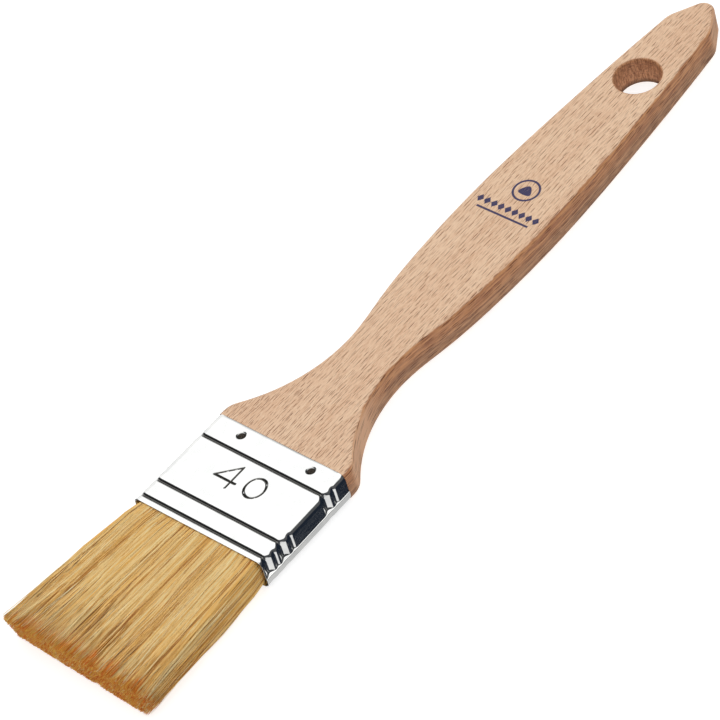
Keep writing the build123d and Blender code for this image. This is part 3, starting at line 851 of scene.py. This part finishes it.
def ferrule_rows():
    """The rows: each one's distance from the joint, and how deep in the sheet it lies."""
    first, last = EDGE_ROUND, FERRULE_LENGTH - EDGE_ROUND
    dense = [(bead - BEAD_ZONE, bead + BEAD_ZONE, BEAD_PITCH) for bead in BEADS]
    dense += [(*zone, BUCKLE_PITCH) for zone in BUCKLE_ZONES]
    dense += [(NAIL_DOWN - NAIL_ZONE, NAIL_DOWN + NAIL_ZONE, NAIL_PITCH)]
    dense += [(NUMBER_BASE - NUMBER_HEIGHT - DIGIT_ZONE_MARGIN, NUMBER_BASE + DIGIT_ZONE_MARGIN,
               DIGIT_ROW_PITCH)]
    inner_dense = [(bead - INNER_BEAD_ZONE, bead + INNER_BEAD_ZONE, INNER_BEAD_PITCH) for bead in BEADS]
    outer = spaced(first, last, dense, ROW_PITCH)
    inner = spaced(first, last, inner_dense, INNER_ROW_PITCH)[::-1]
    # half a turn round each of the strip's long edges
    turn = np.linspace(0, pi, 6)[1:-1]
    lip = SHEET / 2 + np.cos(turn) * SHEET / 2
    down = np.concatenate((outer, last + np.sin(turn) * EDGE_ROUND, inner, first - np.sin(turn) * EDGE_ROUND))
    below = np.concatenate((0 * outer, SHEET - lip, 0 * inner + SHEET, lip))
    return down[:, None], below[:, None]


def make_ferrule(material):
    section = ferrule_section()
    x, z, normal_x, normal_z = (section[None, :, i] for i in range(4))
    rows, below = ferrule_rows()
    depth, painted_shade = ferrule_depth(x, z, normal_x, normal_z, rows)
    depth = depth + below
    # the painted shade is on the outer face only
    painted_shade = painted_shade * (below == 0)
    # the strip's edge at the mouth is turned out a little, and the tube widens towards it
    depth = depth - MOUTH_LIP * smooth(rows, FERRULE_LENGTH - 0.5, FERRULE_LENGTH) * (normal_z > -0.5)
    flare = MOUTH_FLARE * np.sign(x) * smooth(np.abs(x), 10, FERRULE_HALF - 1) * rows / FERRULE_LENGTH
    points = np.empty((len(rows), len(section), 3))
    points[..., 0] = (x + flare - depth * normal_x) * MM
    points[..., 1] = JOINT_Y - rows * MM
    points[..., 2] = np.clip(z - depth * normal_z, 0, FERRULE_HEIGHT) * MM
    index = np.arange(points[..., 0].size).reshape(points.shape[:2])
    under = np.roll(index, -1, axis=0)
    beside = np.roll(index, -1, axis=1)
    corner = np.roll(under, -1, axis=1)
    faces = np.stack((index, beside, corner, under), -1).reshape(-1, 4)
    piece = new_piece("ferrule_pressed", points.reshape(-1, 3), faces, material,
                      {"painted_shade": painted_shade})
    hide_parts("ferrule")


NAIL_HEAD_RADIUS = 0.90
NAIL_HEAD_RISE = 0.16       # of its dome
NAIL_HEAD_RIM = 0.08        # thickness of its edge
NAIL_SHANK_RADIUS = 0.5
NAIL_LENGTH = 3.6
NAIL_POINT = 1.0
NAIL_POINT_RADIUS = 0.02
NAIL_SINK = DIMPLE_DEPTH - 0.02     # from the ferrule's face down to the head
NAIL_SIDES = 28


def make_nails(material):
    """Four small domed nails in their dimples, two through each face."""
    dome = np.linspace(0, pi / 2, 8)[1:]
    radius = np.concatenate((
        NAIL_HEAD_RADIUS * np.sin(dome),
        [NAIL_HEAD_RADIUS, NAIL_SHANK_RADIUS, NAIL_SHANK_RADIUS, NAIL_POINT_RADIUS],
    ))
    height = np.concatenate((
        NAIL_HEAD_RISE * np.cos(dome),
        [-NAIL_HEAD_RIM, -NAIL_HEAD_RIM - 0.02, NAIL_POINT - NAIL_LENGTH, -NAIL_LENGTH],
    ))
    angle = np.arange(NAIL_SIDES) * 2 * pi / NAIL_SIDES
    rings = np.stack((radius[:, None] * np.cos(angle), radius[:, None] * np.sin(angle),
                      height[:, None] + 0 * angle), -1).reshape(-1, 3)
    top = len(rings)
    nail = np.concatenate((rings, [(0, 0, NAIL_HEAD_RISE), (0, 0, -NAIL_LENGTH)]))
    index = np.arange(top).reshape(len(radius), NAIL_SIDES)
    turned = np.roll(index, -1, axis=1)
    walls = np.stack((index[:-1], index[1:], turned[1:], turned[:-1]), -1).reshape(-1, 4)
    triangles = np.concatenate((
        walls[:, [0, 1, 2]], walls[:, [0, 2, 3]],
        np.stack((np.full(NAIL_SIDES, top), index[0], turned[0]), -1),
        np.stack((np.full(NAIL_SIDES, top + 1), turned[-1], index[-1]), -1),
    ))
    points, faces = [], []
    for across in NAILS_ACROSS:
        for way, face in ((-1, 0), (1, FERRULE_HEIGHT)):
            placed = nail * (1, way, way) + (across, JOINT_Y / MM - NAIL_DOWN, face - way * NAIL_SINK)
            faces.append(triangles + len(nail) * len(points))
            points.append(placed)
    piece = new_piece("ferrule_nails_domed", np.concatenate(points) * MM, np.concatenate(faces),
                      material)
    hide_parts("ferrule_nails")


# ---- stage: pale floor, soft light -------------------------------------------------------------------
FLOOR_SIZE = 3.0
FLOOR_GREY = 0.46
FLOOR_GLOW = 0.74
# The world's lights. Heights are those of a direction's unit vector.
CEILING_LIGHT = 1.30
WALL_LIGHT = 0.16
CEILING_HEIGHTS = (0.58, 0.66)
WINDOW_LIGHT = 1.1
WINDOW_AZIMUTH = radians(154)
CARD_LIGHT = 0.9
CARD_AZIMUTH = radians(-23)
PIT_LIGHT = 0.62
LOW_TINT = (0.014, 0.020, 0.032, 1)     # the darkest parts are a bluish black


def around(graph, x, y, azimuth, low, high):
    """1 for directions of one compass bearing, fading to 0 on both sides of it."""
    flat = graph.vector("NORMALIZE", graph.node("ShaderNodeCombineXYZ", x, y, 0.0).outputs[0])
    facing = graph.vector("DOT_PRODUCT", flat, (cos(azimuth), sin(azimuth), 0))
    return graph.ramp(facing, low, high)


def make_floor():
    """A pale floor that glows a little, so that the picture's ground is near white."""
    mesh = bpy.data.meshes.new("floor")
    corners = [(x * FLOOR_SIZE, y * FLOOR_SIZE, 0) for x, y in ((-1, -1), (1, -1), (1, 1), (-1, 1))]
    mesh.from_pydata(corners, [], [(0, 1, 2, 3)])
    floor = bpy.data.objects.new("floor", mesh)
    bpy.context.scene.collection.objects.link(floor)
    material, _, shader = new_material("floor")
    shader.inputs["Base Color"].default_value = (FLOOR_GREY, FLOOR_GREY, FLOOR_GREY, 1)
    shader.inputs["Emission Color"].default_value = (1, 1, 1, 1)
    shader.inputs["Emission Strength"].default_value = FLOOR_GLOW
    shader.inputs["Roughness"].default_value = 0.9
    shader.inputs["Specular IOR Level"].default_value = 0.1
    mesh.materials.append(material)
    floor.visible_glossy = False


def make_studio():
    """The world: soft light from above, and the bright and dark patches that the plated sheet mirrors."""
    world = bpy.data.worlds.new("studio")
    bpy.context.scene.world = world
    world.use_nodes = True
    graph = Graph(world.node_tree)
    x, y, height = axes(graph, graph.node("ShaderNodeTexCoord").outputs["Generated"])
    # a bright ceiling and dim walls, with one bright window behind and to the left of the brush
    dome = graph.ramp(height, *CEILING_HEIGHTS, WALL_LIGHT, CEILING_LIGHT)
    window = around(graph, x, y, WINDOW_AZIMUTH, 0.90, 0.965)
    window = graph.math("MULTIPLY", window, graph.ramp(height, -0.62, -0.5))
    dome = graph.math("MAXIMUM", dome, graph.math("MULTIPLY", window, WINDOW_LIGHT))
    dome = graph.math("MULTIPLY", dome, graph.ramp(height, -0.12, 0.0, 0.02, 1))
    # what a polished face that leans over sees of the floor: dark near the brush, pale far below
    pit = graph.ramp(height, -0.79, -0.74, PIT_LIGHT, 0.0)
    card = around(graph, x, y, CARD_AZIMUTH, 0.90, 0.955)
    card = graph.math("MULTIPLY", graph.math("MULTIPLY", card, graph.ramp(height, -0.10, -0.25)), CARD_LIGHT)
    pit = graph.math("MULTIPLY", graph.math("MAXIMUM", pit, card), graph.ramp(height, -0.1, -0.2))
    light = graph.math("ADD", dome, pit)
    window_low = graph.math("MULTIPLY", window, graph.ramp(height, 0.0, -0.1))
    light = graph.math("MAXIMUM", light, window_low)
    light = graph.mix(graph.ramp(light, 0.0, 0.3), LOW_TINT, graph.tinted(light))
    graph.give(world.node_tree.nodes["Background"].inputs["Color"], light)
    bpy.context.scene.view_settings.view_transform = "Standard"


# ---- the scene ---------------------------------------------------------------------------------------
make_camera()
make_floor()
make_studio()
dress("handle", make_beech())
make_ferrule(make_plate())
make_nails(make_nail_steel())
dress("resin_set", make_plain("resin", linear(150, 104, 48), linear(120, 80, 34), 0.35))
dress("filler_strip", make_plain("filler_wood", linear(206, 168, 120), linear(180, 138, 92), 0.7))
make_tuft(make_bristle())
